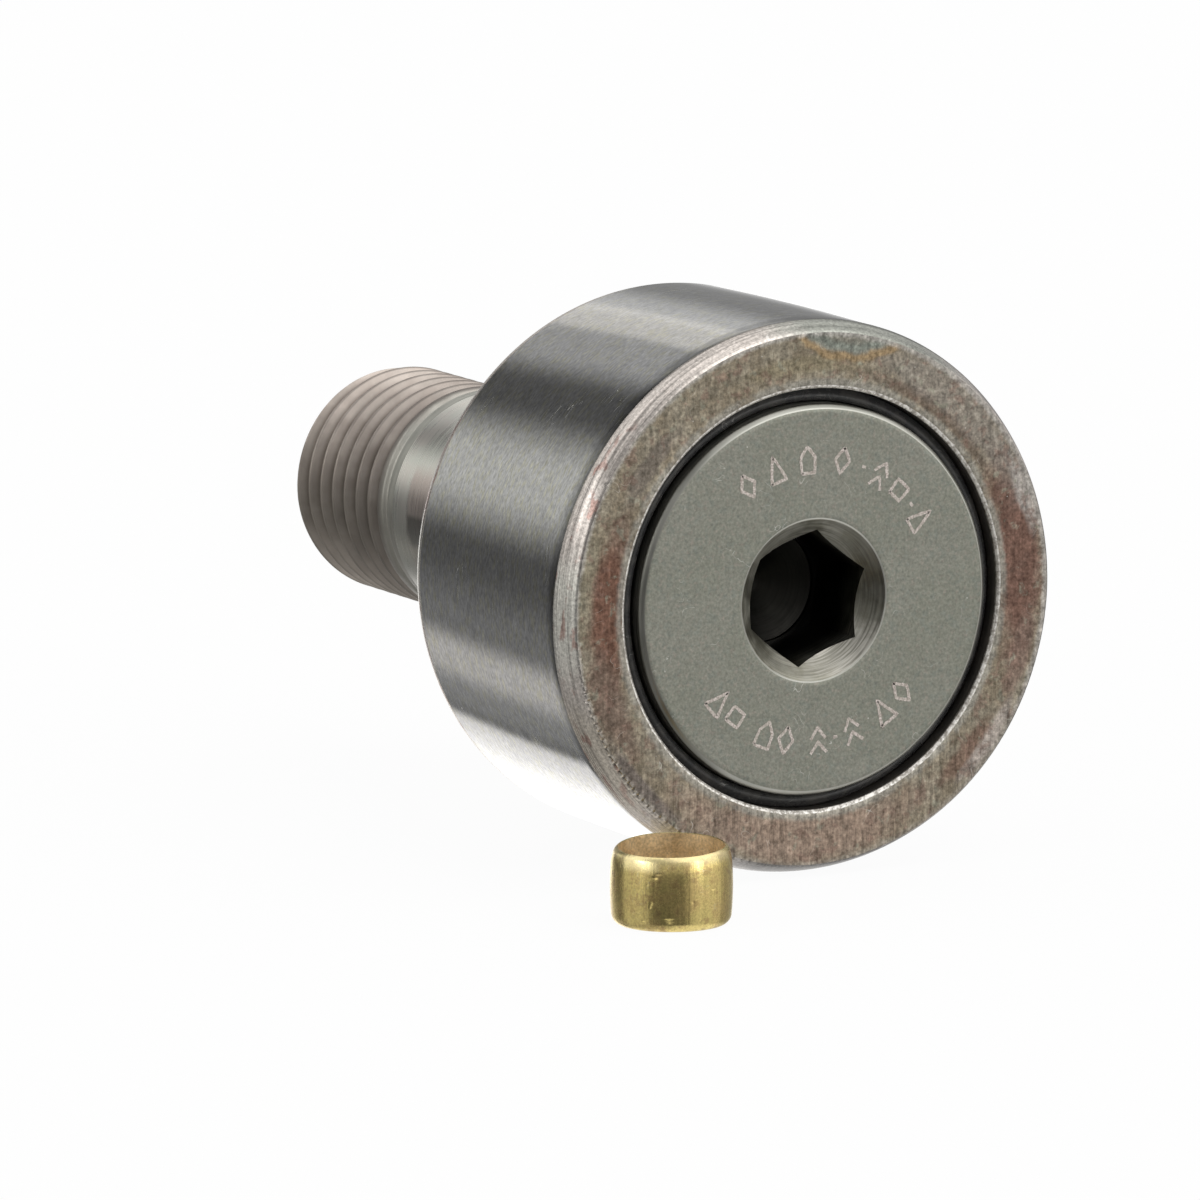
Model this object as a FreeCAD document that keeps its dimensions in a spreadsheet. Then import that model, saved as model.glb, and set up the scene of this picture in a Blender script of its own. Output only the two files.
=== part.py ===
# Stud-type needle cam follower with a loose lubrication plug, in millimetres.
# The stud axis is Y: the head faces -Y and the thread points to +Y. Z is up.
# The origin is on the stud axis, in the mounting shoulder's plane.
import FreeCAD, Part
import Sketcher
import math
import os
from FreeCAD import Placement, Rotation, Vector

doc = FreeCAD.newDocument("cam_follower")

SIZES = {
    # roller
    "roller_radius": 11.1125,
    "roller_width": 12.7,
    "crown_radius": 254.0,
    "face_radius": 10.65,
    "front_edge_radius": 11.0572,
    "front_corner_width": 1.05,
    "front_corner_round": 2.5,
    "rear_edge_radius": 11.0438,
    "rear_corner_width": 0.44,
    "rear_corner_round": 0.9,
    "rear_face_radius": 10.93,
    "raceway_radius": 7.412,
    "raceway_break": 0.25,
    "counterbore_radius": 8.4,
    "counterbore_depth": 2.95,
    "counterbore_break": 0.15,
    # stud
    "shoulder_extension": 0.79375,
    "head_proud": 0.1,
    "head_radius": 7.8,
    "head_thickness": 2.5,
    "head_break": 0.2,
    "inner_race_radius": 5.388,
    "endplate_seat_radius": 5.1,
    "endplate_thickness": 3.15,
    "endplate_bore_break": 0.25,
    "endplate_rim_break": 0.4,
    "shank_radius": 4.7625,
    "thread_major_radius": 4.7485,
    "stud_length": 22.225,
    "stud_end_break": 0.4,
    "hex_across_flats": 4.7625,
    "hex_depth": 4.2,
    "hex_turn": 8.6,
    "countersink_radius": 3.26,
    "pilot_radius": 2.3,
    "pilot_depth": 4.4,
    "pilot_tip": 1.38,
    "plug_seat_radius": 2.38125,
    "plug_seat_depth": 4.2,
    "plug_seat_cone": 1.0,
    "plug_seat_break": 0.25,
    "duct_radius": 1.19,
    "duct_tip_depth": 6.9,
    "duct_tip": 0.7,
    "cross_hole_radius": 0.8,
    "cross_hole_setback": 5.35,
    # 3/8-24 UNF thread
    "thread_pitch": 1.05833,
    "thread_depth": 0.573,
    "thread_root_half_flat": 0.1323,
    "thread_tool_half_width": 0.492,
    "thread_tool_clear": 0.05,
    "thread_length": 6.73,
    "runout_length": 2.3,
    "runout_angle": 15.2,
    "thread_overrun": 1.0,
    # seals
    "seal_disc_bore_radius": 7.5,
    "seal_disc_thickness": 0.48,
    "seal_shoulder_gap": 0.02,
    "seal_outer_radius": 8.38,
    "seal_lip_root_radius": 7.95,
    "seal_lip_radius": 7.86,
    "seal_lip_height": 1.95,
    "seal_lip_round": 0.3,
    # needles
    "needle_radius": 0.992,
    "needle_half_length": 3.9,
    "needle_setback": 7.13,
    "needle_round": 0.35,
    "needle_pitch_radius": 6.4,
    # lubrication plug
    "plug_height": 3.05,
    "plug_rim_radius": 2.25,
    "plug_bottom_radius": 2.16,
    "plug_wall_radius": 2.31,
    "plug_bottom_round": 0.12,
    "plug_belly_round": 9.4,
    "plug_wall": 0.17,
    "plug_floor": 0.25,
    "plug_aside": 9.32,
    "plug_forward": 18.92,
}
NEEDLE_COUNT = 20

sizes = doc.addObject("Spreadsheet::Sheet", "sizes")
for row, (alias, value) in enumerate(SIZES.items(), start=1):
    sizes.set(f"A{row}", alias)
    sizes.set(f"B{row}", str(value))
    sizes.setAlias(f"B{row}", alias)
doc.recompute()


def bound(formula):
    """Turn a sum of alias names and numbers into an expression on the sheet."""
    words = [f"sizes.{word}" if word in SIZES else word for word in formula.split()]
    return " ".join(words)


def value_of(formula):
    """Add up a formula such as 'roller_width + shoulder_extension - 0.5'."""
    total, sign = 0.0, 1.0
    for word in formula.split():
        if word in ("+", "-"):
            sign = -1.0 if word == "-" else 1.0
        else:
            total += sign * (SIZES[word] if word in SIZES else float(word))
            sign = 1.0
    return total


def new_body(label):
    body = doc.addObject("PartDesign::Body", label)
    body.Label = label
    return body


def new_sketch(body, name, role, offset=None):
    """A sketch on one of the body's own origin planes."""
    plane = next(item for item in body.Origin.OriginFeatures if item.Role == role)
    sketch = body.newObject("Sketcher::SketchObject", name)
    sketch.AttachmentSupport = [(plane, "")]
    sketch.MapMode = "FlatFace"
    if offset:
        sketch.setExpression(".AttachmentOffset.Base.z", bound(offset))
    return sketch


def arc_between(start, end, radius):
    """The arc that bulges to the right of the way from start to end."""
    middle = (start + end) * 0.5
    half = (end - start).Length / 2
    sagitta = radius - math.sqrt(radius * radius - half * half)
    along = (end - start).normalize()
    bulge = middle + Vector(along.y, -along.x, 0) * sagitta
    return Part.Arc(start, bulge, end)


def draw_outline(sketch, corners):
    """Draw a closed outline, anticlockwise, with every corner held by the sheet.

    A corner is (x formula, y formula) or (x formula, y formula, radius alias):
    the third entry makes the edge that leaves the corner a convex arc.
    """
    points = [Vector(value_of(corner[0]), value_of(corner[1]), 0) for corner in corners]
    count = len(corners)
    for index, corner in enumerate(corners):
        start, end = points[index], points[(index + 1) % count]
        if len(corner) == 3:
            sketch.addGeometry(arc_between(start, end, SIZES[corner[2]]), False)
        else:
            sketch.addGeometry(Part.LineSegment(start, end), False)
    for index, corner in enumerate(corners):
        sketch.addConstraint(Sketcher.Constraint("Coincident", index, 2, (index + 1) % count, 1))
        for kind, formula in (("DistanceX", corner[0]), ("DistanceY", corner[1])):
            hold = Sketcher.Constraint(kind, -1, 1, index, 1, value_of(formula))
            number = sketch.addConstraint(hold)
            sketch.setExpression(f"Constraints[{number}]", bound(formula))
        if len(corner) == 3:
            number = sketch.addConstraint(Sketcher.Constraint("Radius", index, SIZES[corner[2]]))
            sketch.setExpression(f"Constraints[{number}]", bound(corner[2]))


def turn(body, name, corners, kind="Revolution", role="XY_Plane"):
    """Revolve an outline about the sketch's upright axis, to add or to cut."""
    sketch = new_sketch(body, f"{name}_outline", role)
    draw_outline(sketch, corners)
    feature = body.newObject(f"PartDesign::{kind}", name)
    feature.Profile = sketch
    feature.ReferenceAxis = (sketch, ["V_Axis"])
    feature.Angle = 360.0
    sketch.Visibility = False
    body.Tip = feature
    return feature


# Positions along the stud, as sums of sheet values.
RING_FRONT = "0 - shoulder_extension - roller_width"
RING_REAR = "0 - shoulder_extension"
HEAD_FRONT = f"{RING_FRONT} - head_proud"
HEAD_REAR = f"{HEAD_FRONT} + head_thickness"
ENDPLATE_FRONT = "0 - endplate_thickness"
FRONT_SHOULDER = f"{RING_FRONT} + counterbore_depth"
REAR_SHOULDER = f"{RING_REAR} - counterbore_depth"


def make_stud():
    """One piece: head, inner raceway, endplate seat, shank and threaded end."""
    body = new_body("stud")
    turn(body, "blank", [
        ("0", HEAD_FRONT),
        ("head_radius - head_break", HEAD_FRONT),
        ("head_radius", f"{HEAD_FRONT} + head_break"),
        ("head_radius", f"{HEAD_REAR} - head_break"),
        ("head_radius - head_break", HEAD_REAR),
        ("inner_race_radius", HEAD_REAR),
        ("inner_race_radius", ENDPLATE_FRONT),
        ("endplate_seat_radius", ENDPLATE_FRONT),
        ("endplate_seat_radius", "0 - endplate_bore_break"),
        ("shank_radius", "0"),
        ("shank_radius", "stud_length - thread_length - runout_length"),
        ("thread_major_radius", "stud_length - thread_length"),
        ("thread_major_radius", "stud_length - stud_end_break"),
        ("thread_major_radius - stud_end_break", "stud_length"),
        ("0", "stud_length"),
    ])
    turn(body, "socket_entry", [
        ("0", HEAD_FRONT),
        ("countersink_radius", HEAD_FRONT),
        ("pilot_radius", f"{HEAD_FRONT} + countersink_radius - pilot_radius"),
        ("pilot_radius", f"{HEAD_FRONT} + pilot_depth"),
        ("0", f"{HEAD_FRONT} + pilot_depth + pilot_tip"),
    ], kind="Groove")
    turn(body, "lubrication_duct", [
        ("0", f"{HEAD_FRONT} + duct_tip_depth"),
        ("duct_radius", f"{HEAD_FRONT} + duct_tip_depth + duct_tip"),
        ("duct_radius", "stud_length - plug_seat_depth - plug_seat_cone"),
        ("plug_seat_radius", "stud_length - plug_seat_depth"),
        ("plug_seat_radius", "stud_length - plug_seat_break"),
        ("plug_seat_radius + plug_seat_break", "stud_length"),
        ("0", "stud_length"),
    ], kind="Groove")
    cut_hex_socket(body)
    cut_cross_hole(body)
    cut_thread(body)
    return body


def cut_hex_socket(body):
    # The XZ plane's own normal points to -Y, so the offset to the head is positive.
    sketch = new_sketch(body, "hex_outline", "XZ_Plane",
                        "shoulder_extension + roller_width + head_proud")
    corner_radius = SIZES["hex_across_flats"] / math.sqrt(3)
    first = math.radians(90 - SIZES["hex_turn"])
    corners = [Vector(corner_radius * math.cos(first + math.radians(60 * step)),
                      corner_radius * math.sin(first + math.radians(60 * step)), 0)
               for step in range(6)]
    for step in range(6):
        sketch.addGeometry(Part.LineSegment(corners[step], corners[(step + 1) % 6]), False)
    circle = Part.Circle(Vector(0, 0, 0), Vector(0, 0, 1), corner_radius)
    around = sketch.addGeometry(circle, True)
    sketch.addConstraint(Sketcher.Constraint("Coincident", around, 3, -1, 1))
    for step in range(6):
        sketch.addConstraint(Sketcher.Constraint("Coincident", step, 2, (step + 1) % 6, 1))
        sketch.addConstraint(Sketcher.Constraint("PointOnObject", step, 1, around))
        if step:
            sketch.addConstraint(Sketcher.Constraint("Equal", 0, step))
    number = sketch.addConstraint(Sketcher.Constraint("Radius", around, corner_radius))
    sketch.setExpression(f"Constraints[{number}]", "sizes.hex_across_flats / sqrt(3)")
    number = sketch.addConstraint(Sketcher.Constraint(
        "DistanceX", -1, 1, 0, 1, corner_radius * math.cos(first)))
    sketch.setExpression(f"Constraints[{number}]",
                         "sizes.hex_across_flats / sqrt(3) * sin(sizes.hex_turn * 1 deg)")
    pocket = body.newObject("PartDesign::Pocket", "hex_socket")
    pocket.Profile = sketch
    pocket.setExpression("Length", "sizes.hex_depth")
    body.Tip = pocket


def cut_cross_hole(body):
    """A radial hole that brings grease from the duct to the needles."""
    sketch = new_sketch(body, "cross_hole_outline", "XY_Plane")
    centre = Vector(0, -SIZES["cross_hole_setback"], 0)
    circle = sketch.addGeometry(Part.Circle(centre, Vector(0, 0, 1),
                                            SIZES["cross_hole_radius"]), False)
    sketch.addConstraint(Sketcher.Constraint("PointOnObject", circle, 3, -2))
    number = sketch.addConstraint(Sketcher.Constraint(
        "DistanceY", -1, 1, circle, 3, -SIZES["cross_hole_setback"]))
    sketch.setExpression(f"Constraints[{number}]", "0 - sizes.cross_hole_setback")
    number = sketch.addConstraint(Sketcher.Constraint(
        "Radius", circle, SIZES["cross_hole_radius"]))
    sketch.setExpression(f"Constraints[{number}]", "sizes.cross_hole_radius")
    pocket = body.newObject("PartDesign::Pocket", "cross_hole")
    pocket.Profile = sketch
    pocket.Reversed = True
    pocket.setExpression("Length", "sizes.inner_race_radius + 1")
    body.Tip = pocket


def cut_thread(body):
    """A 60 degree groove along a helix, and a cone-shaped run-out behind it."""
    start = "stud_length - thread_length"
    groove_root = "thread_major_radius - thread_depth"
    tool_rim = "thread_major_radius + thread_tool_clear"
    for name, length, angle, backwards in (
            ("thread_runout", "runout_length", "runout_angle", True),
            ("thread", "thread_length + thread_overrun", None, False)):
        sketch = new_sketch(body, f"{name}_outline", "XY_Plane")
        draw_outline(sketch, [
            (groove_root, f"{start} - thread_root_half_flat"),
            (tool_rim, f"{start} - thread_tool_half_width"),
            (tool_rim, f"{start} + thread_tool_half_width"),
            (groove_root, f"{start} + thread_root_half_flat"),
        ])
        helix = body.newObject("PartDesign::SubtractiveHelix", name)
        helix.Profile = sketch
        helix.ReferenceAxis = (sketch, ["V_Axis"])
        helix.Mode = 0
        helix.setExpression("Pitch", "sizes.thread_pitch")
        helix.setExpression("Height", bound(length))
        helix.Reversed = backwards
        if angle:
            helix.setExpression("Angle", bound(angle))
        body.Tip = helix


def make_endplate():
    """The rear flange: pressed on its seat, it closes the rear of the needle track."""
    body = new_body("rear_endplate")
    turn(body, "blank", [
        ("endplate_seat_radius", ENDPLATE_FRONT),
        ("head_radius - head_break", ENDPLATE_FRONT),
        ("head_radius", f"{ENDPLATE_FRONT} + head_break"),
        ("head_radius", "0 - endplate_rim_break"),
        ("head_radius - endplate_rim_break", "0"),
        ("endplate_seat_radius + endplate_bore_break", "0"),
        ("endplate_seat_radius", "0 - endplate_bore_break"),
    ])


def make_outer_ring():
    """The roller: crowned tread, two counterbores and the outer raceway between them."""
    body = new_body("outer_ring")
    turn(body, "blank", [
        ("counterbore_radius + counterbore_break", RING_FRONT),
        ("face_radius", RING_FRONT, "front_corner_round"),
        ("front_edge_radius", f"{RING_FRONT} + front_corner_width", "crown_radius"),
        ("rear_edge_radius", f"{RING_REAR} - rear_corner_width", "rear_corner_round"),
        ("rear_face_radius", RING_REAR),
        ("counterbore_radius + counterbore_break", RING_REAR),
        ("counterbore_radius", f"{RING_REAR} - counterbore_break"),
        ("counterbore_radius", REAR_SHOULDER),
        ("raceway_radius + raceway_break", REAR_SHOULDER),
        ("raceway_radius", f"{REAR_SHOULDER} - raceway_break"),
        ("raceway_radius", f"{FRONT_SHOULDER} + raceway_break"),
        ("raceway_radius + raceway_break", FRONT_SHOULDER),
        ("counterbore_radius", FRONT_SHOULDER),
        ("counterbore_radius", f"{RING_FRONT} + counterbore_break"),
    ])


def make_front_seal():
    """A thrust disc with a lip that fills the gap around the head."""
    body = new_body("front_seal")
    inside = f"{FRONT_SHOULDER} - seal_shoulder_gap"
    disc_front = f"{inside} - seal_disc_thickness"
    tip = f"{disc_front} - seal_lip_height"
    turn(body, "moulding", [
        ("seal_lip_radius", tip),
        ("seal_outer_radius - seal_lip_round", tip, "seal_lip_round"),
        ("seal_outer_radius", f"{tip} + seal_lip_round"),
        ("seal_outer_radius", inside),
        ("seal_disc_bore_radius", inside),
        ("seal_disc_bore_radius", disc_front),
        ("seal_lip_root_radius", disc_front),
        ("seal_lip_root_radius", f"{tip} + seal_lip_round"),
    ])


def make_rear_seal():
    """The front seal's mirror image, around the endplate."""
    body = new_body("rear_seal")
    inside = f"{REAR_SHOULDER} + seal_shoulder_gap"
    disc_rear = f"{inside} + seal_disc_thickness"
    tip = f"{disc_rear} + seal_lip_height"
    turn(body, "moulding", [
        ("seal_disc_bore_radius", inside),
        ("seal_outer_radius", inside),
        ("seal_outer_radius", f"{tip} - seal_lip_round", "seal_lip_round"),
        ("seal_outer_radius - seal_lip_round", tip),
        ("seal_lip_radius", tip),
        ("seal_lip_root_radius", f"{tip} - seal_lip_round"),
        ("seal_lip_root_radius", disc_rear),
        ("seal_disc_bore_radius", disc_rear),
    ])


def make_needle(number):
    """One roller of the full complement, with rounded ends."""
    label = f"needle_{number:02d}"
    body = new_body(label)
    half = "needle_half_length"
    turn(body, "pin", [
        ("0", f"0 - {half}"),
        ("needle_radius - needle_round", f"0 - {half}", "needle_round"),
        ("needle_radius", f"0 - {half} + needle_round"),
        ("needle_radius", f"{half} - needle_round", "needle_round"),
        ("needle_radius - needle_round", half),
        ("0", half),
    ])
    angle = f"{number - 1} * 360 / {NEEDLE_COUNT}"
    body.setExpression(".Placement.Base.x", f"sizes.needle_pitch_radius * sin({angle} * 1 deg)")
    body.setExpression(".Placement.Base.y", bound("0 - needle_setback"))
    body.setExpression(".Placement.Base.z", f"sizes.needle_pitch_radius * cos({angle} * 1 deg)")


def make_lubrication_plug():
    """A drawn brass cup that stands open end up beside the roller."""
    body = new_body("lubrication_plug")
    turn(body, "cup", [
        ("0", "0"),
        ("plug_bottom_radius", "0", "plug_bottom_round"),
        ("plug_wall_radius", "plug_bottom_round", "plug_belly_round"),
        ("plug_rim_radius", "plug_height"),
        ("plug_rim_radius - plug_wall", "plug_height"),
        ("plug_rim_radius - plug_wall", "plug_bottom_round + plug_floor"),
        ("plug_bottom_radius - plug_wall", "plug_floor"),
        ("0", "plug_floor"),
    ], role="XY_Plane")
    upright = Rotation(Vector(1, 0, 0), 90)
    body.Placement = Placement(Vector(0, 0, 0), upright)
    body.setExpression(".Placement.Base.x", bound("0 - plug_aside"))
    body.setExpression(".Placement.Base.y", bound("0 - plug_forward"))
    body.setExpression(".Placement.Base.z", bound("0 - roller_radius"))


make_stud()
make_endplate()
make_outer_ring()
make_front_seal()
make_rear_seal()
for number in range(1, NEEDLE_COUNT + 1):
    make_needle(number)
make_lubrication_plug()
doc.recompute()

for item in doc.Objects:
    if "Invalid" in item.State or "Error" in item.State:
        raise RuntimeError(f"{item.Label} did not compute")

os.makedirs("parts", exist_ok=True)
for body in doc.findObjects("PartDesign::Body"):
    if body.Shape.isNull() or not body.Shape.isValid():
        raise RuntimeError(f"{body.Label} has no valid shape")
    body.Shape.exportStep(f"parts/{body.Label}.step")
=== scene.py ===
import math
import random

import bmesh
import bpy
import numpy as np
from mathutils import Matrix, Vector


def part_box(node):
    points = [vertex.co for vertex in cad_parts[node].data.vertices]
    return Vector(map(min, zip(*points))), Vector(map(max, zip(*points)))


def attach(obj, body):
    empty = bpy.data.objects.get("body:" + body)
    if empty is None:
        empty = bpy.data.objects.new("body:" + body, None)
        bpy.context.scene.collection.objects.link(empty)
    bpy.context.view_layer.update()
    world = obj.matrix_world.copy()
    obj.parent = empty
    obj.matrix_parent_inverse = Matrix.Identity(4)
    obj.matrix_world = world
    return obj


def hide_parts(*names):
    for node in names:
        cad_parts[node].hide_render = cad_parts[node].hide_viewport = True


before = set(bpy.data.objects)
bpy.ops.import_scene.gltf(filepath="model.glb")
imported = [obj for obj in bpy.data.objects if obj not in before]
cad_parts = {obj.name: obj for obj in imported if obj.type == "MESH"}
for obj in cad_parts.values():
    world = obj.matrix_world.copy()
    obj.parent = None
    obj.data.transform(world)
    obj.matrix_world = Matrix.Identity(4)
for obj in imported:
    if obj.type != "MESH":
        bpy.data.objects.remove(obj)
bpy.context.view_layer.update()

MM = 0.001
rng = np.random.default_rng(7)
random.seed(7)


# ---------------- sizes, in millimetres

def box_mm(node):
    low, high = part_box(node)
    return low / MM, high / MM


ring_low, ring_high = box_mm("outer_ring")
stud_low, stud_high = box_mm("stud")
plug_low, plug_high = box_mm("lubrication_plug")

ROLLER_RADIUS = 11.1125
RING_FRONT, RING_REAR = ring_low.y, ring_high.y
HEAD_FRONT, STUD_END = stud_low.y, stud_high.y
FLOOR = -ROLLER_RADIUS

FACE_RADIUS = 10.65
FRONT_EDGE_RADIUS = 11.0572
FRONT_CORNER_WIDTH = 1.05
FRONT_CORNER_ROUND = 2.5
REAR_EDGE_RADIUS = 11.0438
REAR_CORNER_WIDTH = 0.44
REAR_CORNER_ROUND = 0.9
REAR_FACE_RADIUS = 10.93
FACE_LIP = 0.035
# the ring's edges aren't true: they lean, wave, and have burrs and chips
CORNER_LEAN, CORNER_WAVE = 0.24, 0.03
FACE_SHIFT, FACE_WAVE, FACE_SHIFT_SIDE = 0.05, 0.012, 200
BURR_START, BURR_END, BURR_TEETH = 183, 250, 190
BURR_HEIGHT, BURR_REACH = 0.05, 0.09
BORE_CHIP = 0.09
CROWN_RADIUS = 254.0
BORE_RADIUS = 8.4
BORE_BREAK = 0.15
COUNTERBORE_DEPTH = 2.95
RACEWAY_RADIUS = 7.412
SMALL_BREAK = 0.25

HEAD_RADIUS = 7.8
HEAD_THICKNESS = 2.5
HEAD_BREAK = 0.2
HEAD_EDGE_ROUND = 0.4
INNER_RACE_RADIUS = 5.388
SEAT_RADIUS = 5.1
SEAT_LENGTH = 3.15
SHANK_RADIUS = 4.7625
CREST_RADIUS = 4.7485
HEX_APOTHEM = 4.7625 / 2
HEX_DEPTH = 4.2
HEX_TURN = 8.6
COUNTERSINK_RADIUS = 3.26
COUNTERSINK_BEVEL = 0.03
PILOT_RADIUS = 2.3
PILOT_DEPTH = 4.4
PILOT_TIP = 1.38
PLUG_SEAT_RADIUS = 2.38125
PLUG_SEAT_DEPTH = 4.2
DUCT_RADIUS = 1.19
DUCT_TIP_DEPTH = 6.9
DUCT_TIP = 0.7
DUCT_MOUTH = 1.0
PITCH = 25.4 / 24
THREAD_DEPTH = 0.573
THREAD_ROOT_HALF_FLAT = 0.1323
THREAD_BLUNT = 0.09
THREAD_LENGTH = 6.73
RUNOUT_LENGTH = 2.3
RUNOUT_SLOPE = math.tan(math.radians(15.2))
END_BREAK = 0.4
ENDPLATE_BREAK = 0.4
ENDPLATE_ROUND = 0.55
ENDPLATE_CHIP = 0.06
FLANK_SLOPE = math.tan(math.radians(30))

SEAL_OUTER_RADIUS = 8.38
SEAL_LIP_RADIUS = 7.86
SEAL_ROOT_RADIUS = 7.95
SEAL_HOLE_RADIUS = 7.5
SEAL_DISC_THICKNESS = 0.48
SEAL_LIP_BREAK = 0.12
SEAL_ROUND = 0.3
SEAL_CROWN, SEAL_DIP, SEAL_WAVE = 0.16, 0.035, 0.012

# the etched signs: their ring, height, stroke, and how far the face round them is set back
MARK_RING_RADIUS = 5.62
MARK_HEIGHT = 1.05
MARK_STROKE = 0.13
MARK_RELIEF = 0.008

PLUG_HEIGHT = 3.05
PLUG_FOOT_RADIUS = 2.1
PLUG_FOOT_ROUND = 0.434
PLUG_WALL_ROUND = 12.5
PLUG_NECK_ROUND = 2.19
PLUG_RIM_ROUND = 0.355
# the plug's rim is tilted, wavy, and a little low on the whole
PLUG_TILT, PLUG_SETTLE, PLUG_RIM_WAVE = 0.11, 0.02, 0.03
PLUG_DRAW_LINES = 0.004
PLUG_RIM_RADIUS = 2.25
PLUG_WALL = 0.17
PLUG_FLOOR = 0.25
PLUG_HIGH_SIDE = 41
# the side of the plug's rim that carries the painted highlight
PLUG_HIGHLIGHT_SIDE = 206
PLUG_CENTRE = (plug_low + plug_high) / 2


# ---------------- meshes

def edge_rows(start, end, count, bulge_radius=0.0):
    """Points from start up to but not including end, straight or along a convex arc."""
    steps = np.arange(count) / count
    start, end = np.array(start, float), np.array(end, float)
    chord = end - start
    length = np.hypot(*chord)
    straight = start + np.outer(steps, chord)
    if not bulge_radius:
        return straight
    half = length / 2
    rise = math.sqrt(bulge_radius ** 2 - half ** 2)
    away = np.array([chord[1], -chord[0]]) / length
    centre = (start + end) / 2 - away * rise
    spokes = straight - centre
    spokes /= np.linalg.norm(spokes, axis=1)[:, None]
    return centre + spokes * bulge_radius


def outline_rows(corners, closed):
    """Rows of an outline. A corner is ((radius, along), zone, rows, arc radius)."""
    rows, zones = [], []
    count = len(corners)
    for index in range(count if closed else count - 1):
        point, zone, steps, bulge = corners[index]
        following = corners[(index + 1) % count][0]
        rows.append(edge_rows(point, following, steps, bulge))
        zones += [zone] * steps
    if not closed:
        rows.append(np.array([corners[-1][0]], float))
    rows = np.concatenate(rows)
    return rows[:, 0], rows[:, 1], zones


def turned_mesh(name, radius, along, angles, zones, materials, closed=True, centre=None,
                sharp=28):
    """A grid of radius and along (rows by angles) made into a mesh about Y, or upright.

    An open grid's end rows shrink to points, so its quads there lose a corner.
    """
    rows, columns = radius.shape
    cosine, sine = np.cos(angles), np.sin(angles)
    if centre is None:
        points = np.stack([radius * cosine, along, radius * sine], axis=-1)
    else:
        points = np.stack([centre.x + radius * cosine, centre.y + radius * sine,
                           along], axis=-1)
    number = np.arange(rows * columns).reshape(rows, columns)
    if not closed:
        number[0, :] = number[0, 0]
        number[-1, :] = number[-1, 0]
    used, packed = np.unique(number, return_inverse=True)
    number = packed.reshape(rows, columns)
    vertices = points.reshape(-1, 3)[used] * MM
    faces, face_zones = [], []
    for row in range(rows if closed else rows - 1):
        here, beyond = number[row], number[(row + 1) % rows]
        corners = np.stack([here, np.roll(here, -1), np.roll(beyond, -1), beyond], axis=-1)
        for quad in corners.tolist():
            faces.append(tuple(dict.fromkeys(quad)))
        face_zones += [zones[row]] * columns
    mesh = bpy.data.meshes.new(name)
    mesh.from_pydata(vertices.tolist(), [], faces)
    for material in materials:
        mesh.materials.append(material)
    mesh.polygons.foreach_set("material_index", np.array(face_zones, np.int32))
    mesh.polygons.foreach_set("use_smooth", np.ones(len(faces), bool))
    if signed_volume(mesh) < 0:
        mesh.flip_normals()
    mesh.set_sharp_from_angle(angle=math.radians(sharp))
    mesh.update()
    return placed(name, mesh)


def placed(name, data):
    """A new object of the given mesh or camera, in the scene."""
    made = bpy.data.objects.new(name, data)
    bpy.context.scene.collection.objects.link(made)
    return made


def full_turn(columns):
    return np.arange(columns) * 2 * math.pi / columns


def spun(corners, angles, closed=True):
    """An outline's rows and zones, and its radius and place along the axis as grids."""
    rows_r, rows_y, zones = outline_rows(corners, closed)
    radius, along = (np.repeat(rows[:, None], len(angles), axis=1) for rows in (rows_r, rows_y))
    return rows_r, rows_y, zones, radius, along


def signed_volume(mesh):
    solid = bmesh.new()
    solid.from_mesh(mesh)
    volume = solid.calc_volume(signed=True)
    solid.free()
    return volume


def angle_from(angles, centre):
    """Signed difference from centre, in degrees, between -180 and 180."""
    return (np.degrees(angles) - centre + 180) % 360 - 180


def soft_step(value, low, high):
    ratio = np.clip((value - low) / (high - low), 0, 1)
    return ratio * ratio * (3 - 2 * ratio)


def ring_noise(angles, waves, seed):
    """A smooth periodic wobble between about -1 and 1, made of the given wave counts."""
    draw = np.random.default_rng(seed)
    total = np.zeros_like(angles)
    for wave in waves:
        total += draw.uniform(0.4, 1.0) * np.sin(wave * angles + draw.uniform(0, 2 * math.pi))
    return total / len(waves)


def ring_chips(angles, waves, seed, power):
    """Only the peaks of a ring noise, made sharper by a power."""
    return np.maximum(0, ring_noise(angles, waves, seed)) ** power


# ---------------- materials

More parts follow.
